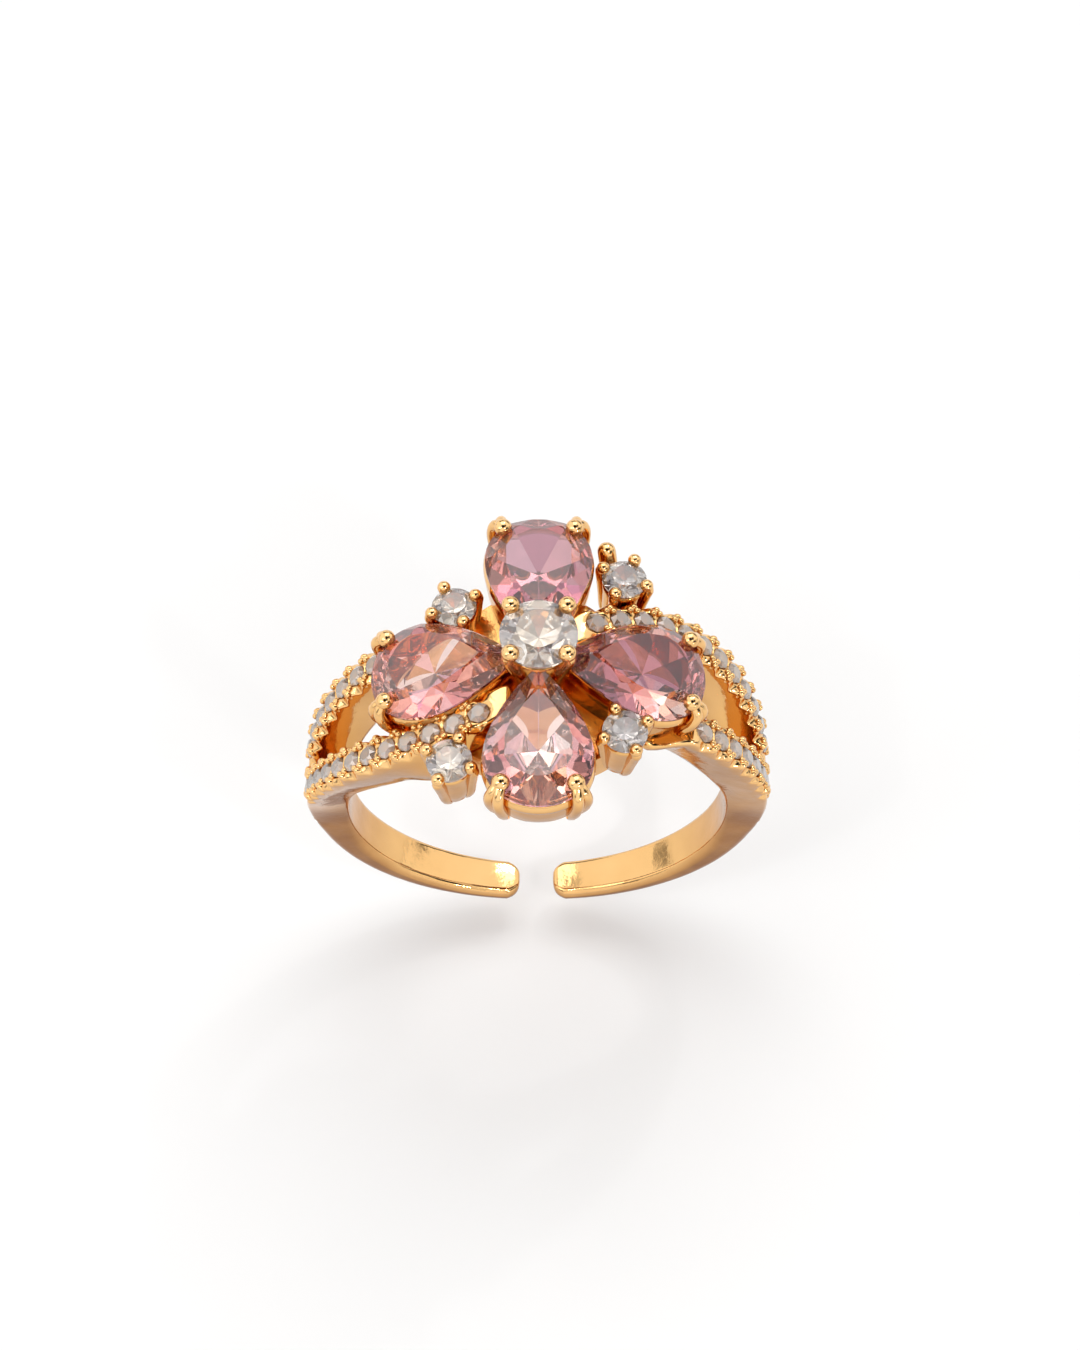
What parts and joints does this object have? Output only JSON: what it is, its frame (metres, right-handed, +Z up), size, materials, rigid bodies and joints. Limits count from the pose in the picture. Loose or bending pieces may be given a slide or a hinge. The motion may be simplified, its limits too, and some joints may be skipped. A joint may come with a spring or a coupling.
{
  "type": "cocktail ring",
  "caption": "Open gold-coloured cocktail ring: a split, stone-set band that bends open, under a flower of pear-cut pink stones, a round centre stone and small round accent stones in claws.",
  "frame": {"origin": "centre of the finger hole, midway along it", "axes": "+Y along the finger, towards the back of the ring; +Z up through the centre stone, away from the open gap; +X to the right, seen from the front"},
  "size_m": [0.0216, 0.0148, 0.0245],
  "materials": {
    "gold": "polished warm yellow gold plating",
    "pink_stone": "faceted, transparent pink",
    "clear_stone": "faceted, transparent colourless"
  },
  "bodies": {
    "head": {"left_shoulder": "gold", "right_shoulder": "gold", "left_front_branch": "gold", "left_back_branch": "gold", "right_front_branch": "gold", "right_back_branch": "gold", "gallery": "gold", "left_petal_setting": "gold", "right_petal_setting": "gold", "front_petal_setting": "gold", "back_petal_setting": "gold", "centre_setting": "gold", "front_left_accent_setting": "gold", "front_right_accent_setting": "gold", "back_left_accent_setting": "gold", "back_right_accent_setting": "gold", "left_petal_stone": "pink_stone", "right_petal_stone": "pink_stone", "front_petal_stone": "pink_stone", "back_petal_stone": "pink_stone", "centre_stone": "clear_stone", "front_left_accent_stone": "clear_stone", "front_right_accent_stone": "clear_stone", "back_left_accent_stone": "clear_stone", "back_right_accent_stone": "clear_stone", "left_front_pave_stones": "clear_stone", "left_back_pave_stones": "clear_stone", "right_front_pave_stones": "clear_stone", "right_back_pave_stones": "clear_stone", "left_shoulder_pave_stones": "clear_stone", "right_shoulder_pave_stones": "clear_stone"},
    "left_arm": {"left_arm": "gold"},
    "right_arm": {"right_arm": "gold"}
  },
  "joints": [
    {"name": "left_arm_bend", "type": "hinge", "parent": "head", "child": "left_arm", "pos_m": [-0.00959, 0, -0.00135], "axis": [0, 1, 0], "range_deg": [-4, 12]},
    {"name": "right_arm_bend", "type": "hinge", "parent": "head", "child": "right_arm", "pos_m": [0.00959, 0, -0.00135], "axis": [0, -1, 0], "range_deg": [-4, 12]}
  ]
}
